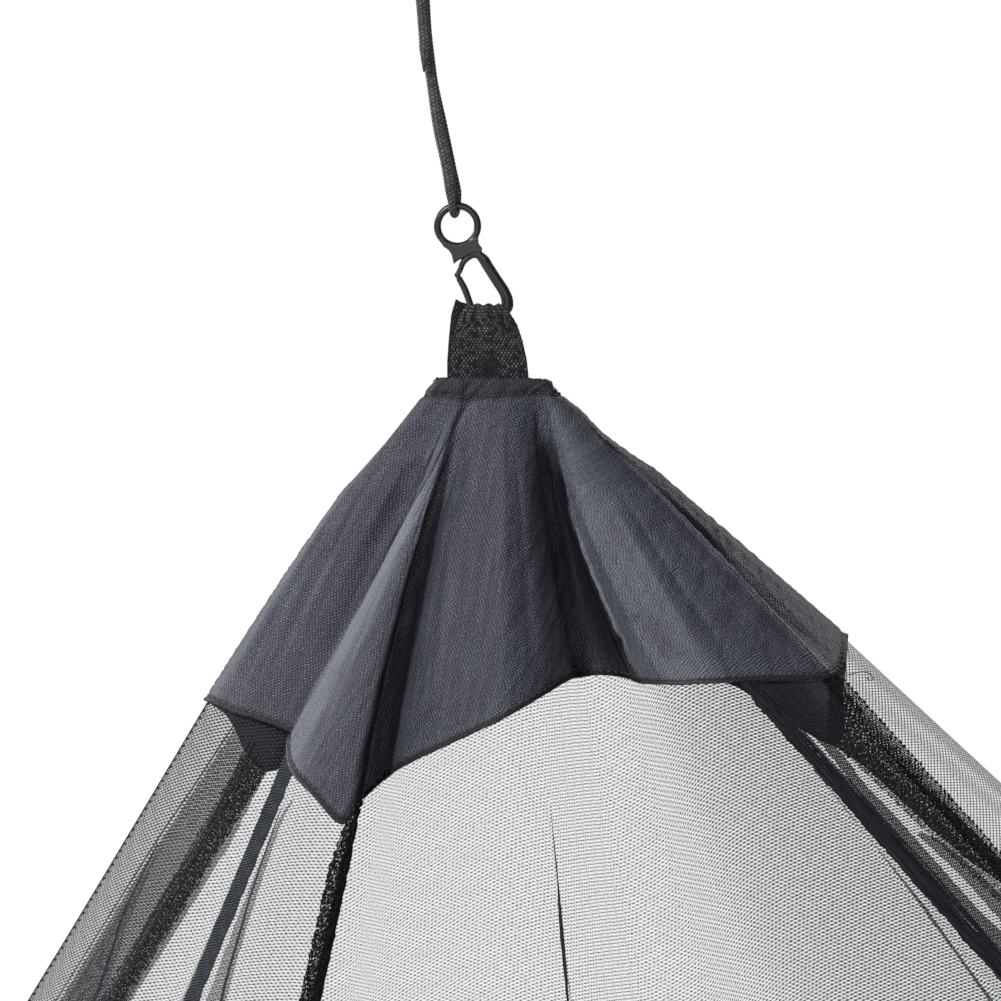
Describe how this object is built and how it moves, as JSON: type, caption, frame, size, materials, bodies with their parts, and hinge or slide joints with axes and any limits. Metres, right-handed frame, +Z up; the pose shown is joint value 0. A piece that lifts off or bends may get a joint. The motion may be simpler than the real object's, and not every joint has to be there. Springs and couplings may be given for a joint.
{
  "type": "mosquito net canopy with hanging clip and cord",
  "caption": "Mosquito net canopy that hangs from one cord: a gathered woven cap on a webbing loop and snap clip, with net panels that fall open below it.",
  "frame": {"origin": "top of the cord's eye, the point that a ceiling hook holds", "axes": "+Z up; -Y towards the front; +X to the right, along the longer side of the floor hem"},
  "size_m": [2.0404, 1.199, 1.3042],
  "materials": {
    "cord_braid": "braided",
    "clip_finish": "gloss",
    "webbing_cloth": "woven",
    "cap_cloth": "woven",
    "net_cloth": "knitted mesh",
    "tape_cloth": "woven"
  },
  "bodies": {
    "canopy": {"cord_eye": "cord_braid", "cord_knot": "cord_braid", "cord_sling": "cord_braid", "cord_tail": "cord_braid", "clip_body": "clip_finish", "webbing_loop": "webbing_cloth", "cap_left": "cap_cloth", "cap_front": "cap_cloth", "cap_right": "cap_cloth", "cap_back": "cap_cloth", "net_left": "net_cloth", "net_front": "net_cloth", "net_right": "net_cloth", "net_back": "net_cloth", "seam_tape_front_left": "tape_cloth", "seam_tape_front_right": "tape_cloth", "seam_tape_back_left": "tape_cloth", "seam_tape_back_right": "tape_cloth", "opening_tape_left": "tape_cloth", "opening_tape_right": "tape_cloth"},
    "gate": {"clip_gate": "clip_finish"}
  },
  "joints": [
    {"name": "gate_hinge", "type": "hinge", "parent": "canopy", "child": "gate", "pos_m": [0.01055, 0, -0.12015], "axis": [0, -1, 0], "range_deg": [0, 28], "stiffness_Nm_per_rad": 0.004, "springref_deg": -11.46}
  ]
}
